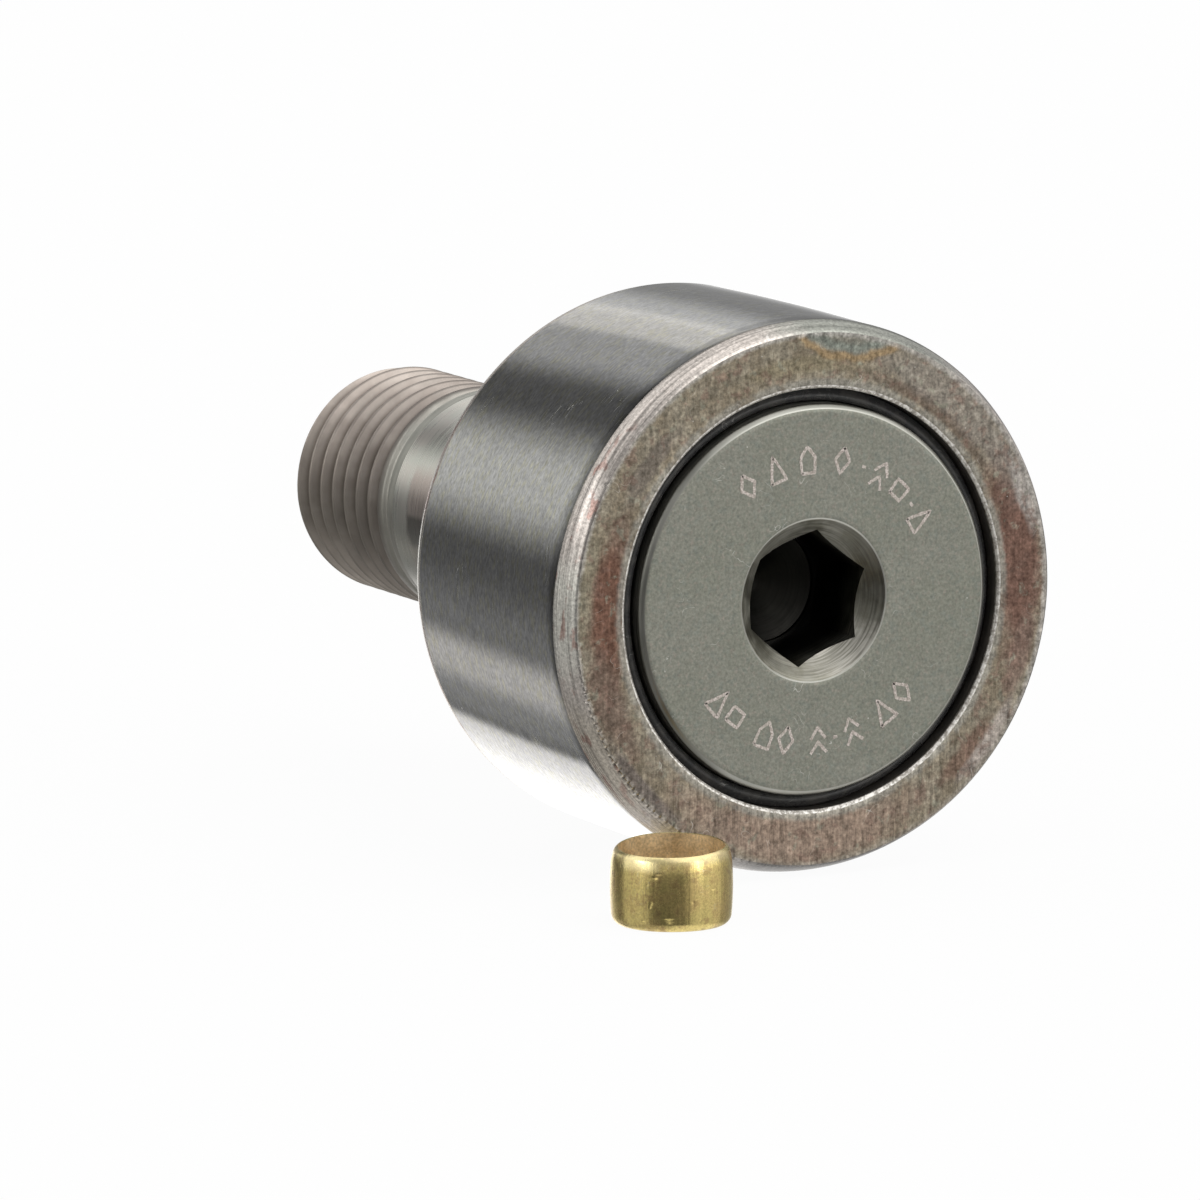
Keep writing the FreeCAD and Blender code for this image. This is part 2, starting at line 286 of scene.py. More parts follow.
class Nodes:
    """A node tree, with short calls for the maths between its nodes."""

    def __init__(self, tree):
        self.nodes, self.links = tree.nodes, tree.links
        self.nodes.clear()

    def add(self, kind, **settings):
        node = self.nodes.new("ShaderNode" + kind)
        for name, value in settings.items():
            setattr(node, name, value)
        return node

    def put(self, socket, value):
        if isinstance(value, bpy.types.NodeSocket):
            self.links.new(value, socket)
        elif isinstance(value, tuple) and socket.type == "RGBA":
            socket.default_value = (*value, 1.0)
        else:
            socket.default_value = value

    def fill(self, node, **values):
        for name, value in values.items():
            self.put(node.inputs[name.replace("_", " ")], value)

    def math(self, operation, *values):
        node = self.add("Math", operation=operation)
        for socket, value in zip(node.inputs, values):
            self.put(socket, value)
        return node.outputs[0]

    def plus(self, first, second):
        return self.math("ADD", first, second)

    def minus(self, first, second):
        return self.math("SUBTRACT", first, second)

    def times(self, first, second):
        return self.math("MULTIPLY", first, second)

    def larger(self, first, second):
        return self.math("MAXIMUM", first, second)

    def length(self, across, up):
        return self.math("SQRT", self.plus(self.times(across, across), self.times(up, up)))

    def spread(self, value, low, high, to_low=0.0, to_high=1.0, smooth=True):
        """The value carried from low..high to to_low..to_high, and held outside."""
        node = self.add("MapRange", interpolation_type="SMOOTHSTEP" if smooth else "LINEAR")
        self.fill(node, Value=value, From_Min=low, From_Max=high, To_Min=to_low,
                  To_Max=to_high)
        return node.outputs[0]

    def mix(self, factor, first, second, blend="MIX"):
        node = self.add("Mix", data_type="RGBA", blend_type=blend)
        self.put(node.inputs[0], factor)
        self.put(node.inputs[6], first)
        self.put(node.inputs[7], second)
        return node.outputs[2]


class Finish(Nodes):
    """One material. Its x, y, z and r are millimetres on the piece, at rest."""

    def __init__(self, name):
        self.material = bpy.data.materials.new(name)
        self.material.use_nodes = True
        super().__init__(self.material.node_tree)
        self.shader = self.add("BsdfPrincipled")
        self.put(self.add("OutputMaterial").inputs[0], self.shader.outputs[0])
        scaled = self.add("VectorMath", operation="SCALE")
        self.put(scaled.inputs[0], self.add("TexCoord").outputs["Object"])
        self.put(scaled.inputs["Scale"], 1 / MM)
        self.place = scaled.outputs[0]
        split = self.add("SeparateXYZ")
        self.put(split.inputs[0], self.place)
        self.x, self.y, self.z = split.outputs
        self.r = self.length(self.x, self.z)

    def metal(self, color, rough, relief):
        self.fill(self.shader, Base_Color=color, Metallic=1.0, Roughness=rough,
                  Normal=relief)
        return self.material

    def point(self, x, y, z):
        node = self.add("CombineXYZ")
        for socket, value in zip(node.inputs, (x, y, z)):
            self.put(socket, value)
        return node.outputs[0]

    def noise(self, vector, scale=1.0, detail=2.0, roughness=0.55, distortion=0.0):
        node = self.add("TexNoise")
        self.fill(node, Vector=vector, Scale=scale, Detail=detail, Roughness=roughness,
                  Distortion=distortion)
        return node.outputs[0]

    def grain(self, around, across, shift=0.0):
        """Coordinates drawn out around the Y axis: fine across the turning, long along it."""
        depth = self.plus(self.r, self.times(self.y, -1.37))
        return self.point(self.times(self.x, around),
                          self.math("MULTIPLY_ADD", depth, across, shift),
                          self.times(self.z, around))

    def vary(self, noise, low, high):
        """The usual swing of a noise as a factor from low to high."""
        return self.spread(noise, 0.3, 0.7, low, high, smooth=False)

    def between(self, noise, first, second):
        return self.mix(self.spread(noise, 0.35, 0.65), first, second)

    def tint(self, color, mask, strength, tone):
        return self.mix(self.times(mask, strength), color, tone)

    def shade(self, color, factor):
        """The colour made lighter or darker by a factor near 1."""
        node = self.add("CombineColor")
        for socket in node.inputs:
            self.put(socket, factor)
        return self.mix(1.0, color, node.outputs[0], "MULTIPLY")

    def mottle(self, color, noise, low, high):
        return self.shade(color, self.vary(noise, low, high))

    def specks(self, scale, size, keep):
        """1 on small round specks: about one cell in 1/(1 - keep) has one."""
        node = self.add("TexVoronoi")
        self.fill(node, Vector=self.place, Scale=scale)
        split = self.add("SeparateColor")
        self.put(split.inputs[0], node.outputs["Color"])
        near = self.spread(node.outputs["Distance"], size, size * 0.5)
        return self.times(near, self.math("GREATER_THAN", split.outputs[0], keep))

    def scratches(self, vector, scale, width, bend, region, low, high):
        """1 on thin wandering lines, where a smooth noise passes its middle value.

        They only show where a broad noise of scale region rises from low to high.
        """
        value = self.noise(vector, scale, detail=0.0, distortion=bend)
        gap = self.math("ABSOLUTE", self.minus(value, 0.5))
        return self.times(self.spread(gap, width, width * 0.3),
                          self.spread(self.noise(self.place, region, 1.0), low, high))

    def ragged(self, across, up, soft, wobble, scale):
        """1 inside an oval with a wandering edge; across and up are in half sizes."""
        reach = self.length(across, up)
        edge = self.math("MULTIPLY_ADD", self.noise(self.place, scale, 4.0, 0.62),
                         wobble * 2, -wobble)
        return self.spread(self.plus(reach, edge), 1 + soft, 1 - soft)

    def ring_patch(self, angle, radius, half_angle, half_radius):
        """1 inside a ragged stretch of the ring about angle (degrees) and radius (mm)."""
        cosine, sine = math.cos(math.radians(angle)), math.sin(math.radians(angle))
        ahead = self.plus(self.times(self.x, cosine), self.times(self.z, sine))
        aside = self.minus(self.times(self.z, cosine), self.times(self.x, sine))
        turn = self.math("DIVIDE", self.math("ARCTAN2", aside, ahead),
                         math.radians(half_angle))
        out = self.math("DIVIDE", self.minus(self.r, radius), half_radius)
        return self.ragged(turn, out, 0.4, 0.4, 1.6)

    def bump(self, height, depth, below=None):
        """Relief: depth is the height in millimetres between values 0 and 1."""
        node = self.add("Bump")
        self.fill(node, Strength=1.0, Distance=depth * MM, Height=height)
        if below is not None:
            self.put(node.inputs["Normal"], below)
        return node.outputs[0]


def tread_finish():
    f = Finish("ring_tread_ground")
    grains = f.noise(f.grain(4.2, 7.5), 1.0, 2.0, 0.65)
    coarse = f.noise(f.grain(0.8, 1.6), 1.0, 3.0, 0.55)
    hue = f.noise(f.grain(2.2, 5.0, shift=40), 1.0, 1.0)
    color = f.mix(f.spread(hue, 0.46, 0.70), (0.50, 0.50, 0.50), (0.53, 0.52, 0.44))
    color = f.shade(color, f.spread(grains, 0.3, 0.72, 0.72, 1.28, smooth=False))
    color = f.mottle(color, coarse, 0.93, 1.07)
    # painted shade: the tread is made darker towards the front corner, standing for the shade of
    # its rolled edge
    depth = f.math("MULTIPLY_ADD", coarse, 0.5, f.minus(f.y, RING_FRONT))
    rolled = f.spread(depth, FRONT_CORNER_WIDTH + 1.0, FRONT_CORNER_WIDTH + 0.35)
    color = f.shade(color, f.spread(rolled, 0.0, 1.0, 1.0, 0.60))
    dust = f.larger(f.specks(1.5, 0.055, 0.90), f.specks(0.7, 0.045, 0.80))
    scratch = f.scratches(f.grain(0.5, 1.9, shift=9), 1.0, 0.006, 0.6, 0.55, 0.60, 0.66)
    marks = f.larger(dust, f.times(scratch, 0.6))
    color = f.mix(marks, color, (0.85, 0.84, 0.8))
    rough = f.vary(coarse, 0.075, 0.11)
    rough = f.math("MULTIPLY_ADD", marks, 0.5, rough)
    relief = f.bump(grains, 0.0009)
    return f.metal(color, rough, relief)


# Patches on the ring: (angle, radius, half angle, half radius, strength, colour).
# On the corner they are mostly painted light and shade: lighter patches on the left, darker ones
# at the upper right, at 160 degrees and at the bottom; the brown one at 240 degrees is a stain.
# On the face they are stains and lighter patches.
CORNER_STAINS_AND_PAINTED_LIGHT = [
    (76, 10.9, 22, 0.6, 0.9, (0.30, 0.31, 0.275)),
    (122, 10.9, 20, 0.6, 0.7, (0.66, 0.60, 0.55)),
    (160, 10.9, 10, 0.6, 0.6, (0.38, 0.345, 0.32)),
    (180, 10.9, 11, 0.6, 0.6, (0.66, 0.66, 0.60)),
    (214, 10.9, 14, 0.6, 0.5, (0.60, 0.54, 0.43)),
    (240, 10.9, 10, 0.6, 0.8, (0.40, 0.30, 0.15)),
    (276, 10.8, 26, 0.45, 1.0, (0.19, 0.18, 0.17)),
]
FACE_TINTS = [
    (93, 9.4, 16, 0.35, 0.6, (0.36, 0.31, 0.20)),
    (52, 9.1, 22, 0.28, 0.8, (0.235, 0.18, 0.14)),
    (7, 9.5, 23, 0.95, 1.0, (0.255, 0.152, 0.118)),
    (21, 10.25, 9, 0.35, 0.9, (0.56, 0.515, 0.475)),
    (141, 9.4, 11, 0.4, 0.7, (0.26, 0.225, 0.195)),
    (119, 9.7, 10, 0.3, 0.4, (0.28, 0.25, 0.19)),
    (162, 9.2, 9, 0.4, 0.6, (0.29, 0.21, 0.165)),
    (178, 9.25, 18, 0.75, 1.0, (0.260, 0.145, 0.105)),
    (171, 10.2, 12, 0.35, 0.5, (0.38, 0.345, 0.25)),
    (201, 9.75, 13, 0.65, 0.85, (0.265, 0.19, 0.15)),
    (222, 10.3, 13, 0.28, 0.8, (0.235, 0.20, 0.185)),
    (266, 9.5, 34, 1.0, 0.8, (0.475, 0.35, 0.275)),
    (316, 9.75, 9, 0.42, 0.85, (0.30, 0.20, 0.15)),
    (322, 10.2, 10, 0.3, 0.9, (0.62, 0.545, 0.49)),
    (342, 9.9, 10, 0.45, 0.75, (0.32, 0.22, 0.18)),
    (48, 9.9, 26, 0.7, 0.45, (0.44, 0.405, 0.375)),
]


# lays the ring's patches on a colour: stains, and on the corner painted light and shade
def add_stains_and_painted_light(f, color, tints):
    for *place, strength, tone in tints:
        color = f.tint(color, f.ring_patch(*place), strength, tone)
    return color


def corner_finish():
    f = Finish("ring_corner_turned")
    turning = f.noise(f.grain(0.14, 12.0), 1.0, 3.0, 0.62)
    broad = f.noise(f.grain(0.25, 1.1, shift=13), 1.0, 2.0)
    fine = f.noise(f.place, 9.0, 2.0, 0.6)
    color = f.between(broad, (0.46, 0.42, 0.385), (0.57, 0.525, 0.485))
    # stains, and painted light and shade: lighter patches on the left, darker ones at the upper
    # right and the bottom
    color = add_stains_and_painted_light(f, color, CORNER_STAINS_AND_PAINTED_LIGHT)
    rusty = f.times(f.spread(f.noise(f.grain(0.9, 2.6, shift=5), 1.0, 3.0), 0.55, 0.64),
                    f.spread(f.x, -6.0, -9.5))
    color = f.tint(color, rusty, 0.65, (0.31, 0.16, 0.13))
    color = f.mottle(color, turning, 0.52, 1.42)
    color = f.mottle(color, fine, 0.70, 1.30)
    scratch = f.scratches(f.grain(1.2, 1.2), 1.0, 0.01, 0.8, 0.8, 0.56, 0.64)
    color = f.tint(color, scratch, 0.6, (0.85, 0.82, 0.78))
    relief = f.bump(turning, 0.005)
    relief = f.bump(f.noise(f.grain(2.0, 3.0), 1.0, 2.0), 0.0025, relief)
    return f.metal(color, f.vary(turning, 0.24, 0.34), relief)


def face_finish():
    f = Finish("ring_face_heat_tinted")
    cloud = f.noise(f.place, 0.9, 5.0, 0.62)
    fine = f.noise(f.place, 7.5, 3.0, 0.6)
    blotch = f.noise(f.place, 3.2, 4.0, 0.68)
    color = f.between(cloud, (0.345, 0.29, 0.212), (0.43, 0.38, 0.295))
    color = add_stains_and_painted_light(f, color, FACE_TINTS)
    reddish = f.spread(f.noise(f.place, 1.9, 4.0, 0.62, 0.4), 0.53, 0.64)
    color = f.tint(color, reddish, 0.5, (0.31, 0.20, 0.16))
    greenish = f.spread(f.noise(f.place, 1.7, 4.0, 0.62, 0.4), 0.42, 0.33)
    color = f.tint(color, greenish, 0.6, (0.40, 0.395, 0.31))

    # temper colours: a round bright spot whose rim has run through straw to brown
    spot = f.length(f.minus(f.x, 2.1), f.minus(f.z, 13.6))
    spot = f.math("MULTIPLY_ADD", f.noise(f.place, 1.5, 3.0), 0.5, spot)
    color = f.mix(f.spread(spot, 4.62, 4.1, 0.0, 0.8), color, (0.36, 0.35, 0.30))
    straw = f.times(f.spread(spot, 4.05, 4.28), f.spread(spot, 4.6, 4.38))
    color = f.tint(color, straw, 0.75, (0.50, 0.345, 0.18))
    blue = f.times(f.spread(spot, 3.6, 3.9), f.spread(spot, 4.2, 3.95))
    color = f.tint(color, blue, 0.45, (0.25, 0.32, 0.29))

    # lighter where the tool broke the edges, partly bare steel and partly a painted highlight
    # along these edge lines: a ragged band at the bore, and a fine one outside that is painted
    # lighter towards the top
    worn = f.math("MULTIPLY_ADD", blotch, 0.3, f.r)
    near_bore = f.times(f.spread(worn, 9.08, 8.82), f.spread(cloud, 0.36, 0.5, 0.25, 0.8))
    color = f.mix(near_bore, color, (0.50, 0.475, 0.415))
    near_corner = f.times(f.spread(worn, FACE_RADIUS - 0.12, FACE_RADIUS + 0.1),
                          f.spread(f.z, -9.5, -2.0, 0.25, 0.75))
    color = f.mix(near_corner, color, (0.62, 0.59, 0.55))
    streaks = f.noise(f.point(f.times(f.x, 7.0), f.y, f.times(f.z, 0.6)), 1.0, 2.0, 0.65)
    low = f.spread(f.z, -3.0, -8.0)
    swing = f.times(f.minus(streaks, 0.5), f.spread(low, 0.0, 1.0, 1.0, 1.6))
    color = f.shade(color, f.plus(swing, 1.0))
    color = f.mottle(color, blotch, 0.53, 1.21)
    color = f.mottle(color, fine, 0.58, 1.14)
    pits = f.specks(2.2, 0.12, 0.86)
    color = f.tint(color, pits, 0.55, (0.13, 0.10, 0.08))
    chips = f.specks(2.6, 0.08, 0.91)
    color = f.tint(color, chips, 0.6, (0.80, 0.76, 0.70))
    scratch = f.scratches(f.place, 0.9, 0.006, 1.2, 0.7, 0.57, 0.63)
    color = f.tint(color, scratch, 0.5, (0.75, 0.70, 0.64))
    relief = f.bump(fine, 0.006)
    relief = f.bump(cloud, 0.012, relief)
    relief = f.bump(f.times(streaks, low), 0.006, relief)
    return f.metal(color, f.vary(cloud, 0.46, 0.36), relief)


# the bore's broken edges: bare steel, coloured light enough to act as a painted highlight line
def broken_edge_finish():
    f = Finish("ring_broken_edge")
    fine = f.noise(f.place, 6.0, 3.0, 0.6)
    color = f.mix(f.spread(fine, 0.36, 0.62), (0.42, 0.39, 0.35), (0.90, 0.87, 0.82))
    return f.metal(color, f.spread(fine, 0.3, 0.7, 0.55, 0.42), f.bump(fine, 0.006))


def bore_finish():
    f = Finish("ring_bore_turned")
    turning = f.noise(f.grain(0.2, 6.0), 1.0, 3.0)
    color = f.mottle((0.36, 0.33, 0.30), turning, 0.75, 1.2)
    return f.metal(color, f.spread(turning, 0.3, 0.7, 0.28, 0.4), f.bump(turning, 0.004))


def head_finish():
    f = Finish("stud_head_matte")
    fine = f.noise(f.place, 9.0, 3.0, 0.65)
    cloud = f.noise(f.place, 0.35, 3.0)
    color = f.between(cloud, (0.268, 0.272, 0.228), (0.292, 0.292, 0.25))
    warm = f.noise(f.place, 5.0, 2.0)
    color = f.mix(f.spread(warm, 0.52, 0.72, 0.0, 0.45), color, (0.36, 0.31, 0.27))
    cool = f.noise(f.place, 4.3, 2.0)
    color = f.mix(f.spread(cool, 0.50, 0.32, 0.0, 0.4), color, (0.22, 0.245, 0.22))
    color = f.shade(color, f.spread(fine, 0.28, 0.72, 0.76, 1.26, smooth=False))
    dust = f.specks(2.0, 0.07, 0.90)
    nick = f.scratches(f.place, 1.3, 0.008, 1.5, 0.8, 0.61, 0.66)
    marks = f.larger(f.times(dust, 0.7), f.times(nick, 0.55))
    color = f.mix(marks, color, (0.80, 0.79, 0.74))
    relief = f.bump(fine, 0.007)
    return f.metal(color, f.vary(cloud, 0.46, 0.54), relief)


def rim_finish():
    f = Finish("stud_head_edge")
    turning = f.noise(f.grain(0.3, 7.0), 1.0, 3.0)
    color = f.between(turning, (0.30, 0.30, 0.265), (0.46, 0.455, 0.41))
    # painted highlight: a thin light line at the head's edge, strongest at the upper right
    bright = f.times(f.spread(f.r, HEAD_RADIUS - 0.12, HEAD_RADIUS - 0.17),
                     f.spread(f.plus(f.x, f.z), -3.0, 5.0, 0.1, 0.85))
    color = f.mix(bright, color, (0.56, 0.555, 0.50))
    # painted shade: the edge is darker towards the left
    color = f.shade(color, f.spread(f.x, -7.0, -2.0, 0.62, 1.0))
    return f.metal(color, f.spread(turning, 0.3, 0.7, 0.34, 0.46), f.bump(turning, 0.004))


def socket_finish():
    f = Finish("stud_socket")
    turning = f.noise(f.grain(0.5, 7.0), 1.0, 3.0, 0.6)
    cloud = f.noise(f.place, 1.1, 4.0, 0.6)
    color = f.between(cloud, (0.27, 0.26, 0.21), (0.37, 0.36, 0.31))
    color = f.mottle(color, turning, 0.66, 1.3)
    # painted light and shade: the countersink is lighter on the left and darker on the right
    color = f.shade(color, f.spread(f.x, -COUNTERSINK_RADIUS, COUNTERSINK_RADIUS, 1.75, 0.38,
                                    smooth=False))
    scraped = f.ragged(f.math("DIVIDE", f.minus(f.x, 1.6), 1.6),
                       f.math("DIVIDE", f.minus(f.z, -2.2), 1.1), 0.4, 0.5, 2.0)
    scraped = f.times(scraped, f.spread(turning, 0.4, 0.62, 0.2, 0.8))
    color = f.mix(scraped, color, (0.52, 0.50, 0.45))
    # painted shade: the socket is darker the deeper it goes
    depth = f.spread(f.y, HEAD_FRONT + 0.8, HEAD_FRONT + 2.4)
    color = f.tint(color, depth, 0.96, (0.016, 0.0155, 0.014))
    return f.metal(color, f.spread(cloud, 0.3, 0.7, 0.34, 0.46), f.bump(turning, 0.006))


def shank_finish():
    f = Finish("stud_shank_ground")
    turning = f.noise(f.grain(0.25, 6.0), 1.0, 3.0)
    cloud = f.noise(f.place, 0.6, 3.0)
    color = f.between(cloud, (0.80, 0.81, 0.74), (0.82, 0.78, 0.72))
    color = f.mottle(color, turning, 0.93, 1.05)
    handled = f.times(f.spread(f.math("MULTIPLY_ADD", cloud, 1.2, f.y), 12.75, 12.35),
                      f.spread(f.z, 2.4, 1.6))
    color = f.tint(color, handled, 0.7, (0.62, 0.50, 0.46))
    # painted shade: the shank's lower side is darkened
    color = f.mix(f.spread(f.z, 1.4, -1.2, 0.0, 0.86), color, (0.19, 0.19, 0.16))
    dull = f.times(handled, f.times(f.spread(f.z, 0.3, 0.0), f.spread(f.z, -1.3, -0.9)))
    color = f.tint(color, dull, 0.7, (0.09, 0.09, 0.08))
    return f.metal(color, f.spread(turning, 0.3, 0.7, 0.26, 0.34), f.bump(turning, 0.0012))


def thread_finish():
    f = Finish("stud_thread_rolled")
    turning = f.noise(f.grain(0.7, 4.0), 1.0, 3.0)
    cloud = f.noise(f.place, 0.8, 4.0, 0.6)
    color = f.between(cloud, (0.43, 0.375, 0.335), (0.52, 0.465, 0.42))
    # painted shade: the crests are darker, dimming their highlight line
    crest = f.spread(f.r, CREST_RADIUS - 0.10, CREST_RADIUS - 0.03)
    color = f.shade(color, f.spread(crest, 0.0, 1.0, 1.0, 0.62))
    # painted shade in the thread's grooves
    groove = f.spread(f.r, CREST_RADIUS - 0.2, CREST_RADIUS - 0.45)
    groove_shade = f.mix(f.spread(cloud, 0.4, 0.6), (0.13, 0.105, 0.09), (0.19, 0.16, 0.14))
    color = f.tint(color, groove, 0.85, groove_shade)
    runout = f.spread(f.math("MULTIPLY_ADD", cloud, 0.5, f.y), 14.9, 14.3)
    color = f.tint(color, runout, 0.7, (0.72, 0.73, 0.66))
    # painted shade: the thread's lower side is darkened
    color = f.mix(f.spread(f.z, 3.8, -1.0, 0.0, 0.60), color, (0.17, 0.155, 0.13))
    color = f.mottle(color, turning, 0.86, 1.13)
    color = f.shade(color, f.spread(f.y, 14.3, 20.5, 0.80, 1.22, smooth=False))
    return f.metal(color, f.spread(cloud, 0.3, 0.7, 0.46, 0.58), f.bump(turning, 0.005))


def mark_finish():
    f = Finish("etched_mark")
    fine = f.noise(f.place, 14.0, 2.0, 0.6)
    broad = f.noise(f.place, 2.5, 2.0)
    color = f.between(fine, (0.42, 0.365, 0.325), (0.76, 0.69, 0.645))
    color = f.mix(f.spread(broad, 0.45, 0.7, 0.0, 0.5), color, (0.50, 0.46, 0.40))
    return f.metal(color, f.spread(fine, 0.3, 0.7, 0.4, 0.6), f.bump(fine, 0.01))


def endplate_finish():
    f = Finish("endplate_turned")
    turning = f.noise(f.grain(0.14, 7.0), 1.0, 4.0, 0.6)
    cloud = f.noise(f.place, 0.5, 4.0, 0.6)
    color = f.between(cloud, (0.38, 0.37, 0.34), (0.46, 0.44, 0.40))
    color = f.mottle(color, turning, 0.78, 1.2)
    dust = f.specks(1.8, 0.07, 0.92)
    color = f.tint(color, dust, 0.6, (0.75, 0.73, 0.68))
    return f.metal(color, f.spread(cloud, 0.3, 0.7, 0.28, 0.4), f.bump(turning, 0.005))


def needle_finish():
    f = Finish("needle_lapped")
    lap = f.noise(f.grain(3.0, 0.8), 1.0, 3.0)
    oil = f.noise(f.place, 0.7, 3.0)
    color = f.mix(f.spread(oil, 0.4, 0.65), (0.66, 0.66, 0.65), (0.58, 0.54, 0.45))
    color = f.mottle(color, lap, 0.93, 1.06)
    return f.metal(color, f.spread(oil, 0.3, 0.7, 0.1, 0.2), f.bump(lap, 0.0008))


def seal_finish():
    f = Finish("seal_nitrile")
    grime = f.noise(f.place, 1.6, 4.0, 0.6)
    fine = f.noise(f.place, 7.0, 3.0)
    color = f.mix(f.spread(grime, 0.4, 0.7), (0.048, 0.048, 0.048), (0.080, 0.077, 0.072))
    lint = f.scratches(f.place, 1.5, 0.012, 1.6, 0.9, 0.58, 0.64)
    dust = f.larger(f.times(lint, 0.7), f.specks(2.4, 0.08, 0.86))
    color = f.tint(color, dust, 0.7, (0.35, 0.34, 0.32))
    relief = f.bump(f.noise(f.grain(0.5, 3.0), 1.0, 2.0), 0.01)
    relief = f.bump(fine, 0.003, relief)
    f.fill(f.shader, Base_Color=color, Normal=relief, IOR=1.52, Specular_IOR_Level=0.18,
           Roughness=f.spread(grime, 0.35, 0.7, 0.20, 0.42, smooth=False))
    return f.material


def brass_finish():
    f = Finish("plug_brass_drawn")
    local_x = f.minus(f.x, PLUG_CENTRE.x)
    local_y = f.minus(f.y, PLUG_CENTRE.y)
    drawn = f.noise(f.point(f.times(local_x, 7.0), f.times(local_y, 7.0),
                            f.times(f.z, 0.5)), 1.0, 3.0, 0.6)
    cloud = f.noise(f.place, 1.3, 4.0, 0.6)
    fine = f.noise(f.place, 11.0, 2.0, 0.6)
    color = f.mix(f.spread(cloud, 0.35, 0.68), (0.80, 0.645, 0.25), (0.76, 0.575, 0.235))
    color = f.mottle(color, drawn, 0.86, 1.12)
    color = f.mottle(color, fine, 0.80, 1.18)
    stain = f.spread(f.noise(f.place, 2.6, 4.0, 0.65), 0.50, 0.68)
    color = f.tint(color, stain, 0.65, (0.44, 0.30, 0.14))
    height = f.minus(f.z, FLOOR)
    polished = f.spread(height, PLUG_HEIGHT - 0.55, PLUG_HEIGHT - 0.2)
    color = f.tint(color, polished, 0.4, (0.88, 0.80, 0.52))
    scuffs = f.scratches(f.place, 1.6, 0.012, 2.0, 1.1, 0.52, 0.60)
    color = f.tint(color, scuffs, 0.5, (0.90, 0.80, 0.50))
    # painted highlight: the front left of the rim is made brighter, where the lamp's spot falls
    side = math.radians(PLUG_HIGHLIGHT_SIDE)
    toward = f.plus(f.times(local_x, math.cos(side)), f.times(local_y, math.sin(side)))
    toward = f.math("MULTIPLY_ADD", drawn, 0.22, toward)
    rim_highlight = f.times(f.spread(toward, 2.14, 2.36),
                     f.spread(height, PLUG_HEIGHT - 0.85, PLUG_HEIGHT - 0.5))
    color = f.tint(color, rim_highlight, 0.6, (1.0, 0.87, 0.48))
    relief = f.bump(drawn, 0.006)
    relief = f.bump(fine, 0.0035, relief)
    return f.metal(color, f.vary(cloud, 0.2, 0.32), relief)


def brass_inside_finish():
    f = Finish("plug_brass_inside")
    cloud = f.noise(f.place, 2.4, 4.0, 0.6)
    fine = f.noise(f.place, 10.0, 2.0)
    color = f.between(cloud, (0.72, 0.575, 0.355), (0.82, 0.67, 0.43))
    color = f.mottle(color, fine, 0.78, 1.2)
    return f.metal(color, f.spread(cloud, 0.3, 0.7, 0.48, 0.6), f.bump(fine, 0.006))


# ---------------- pieces

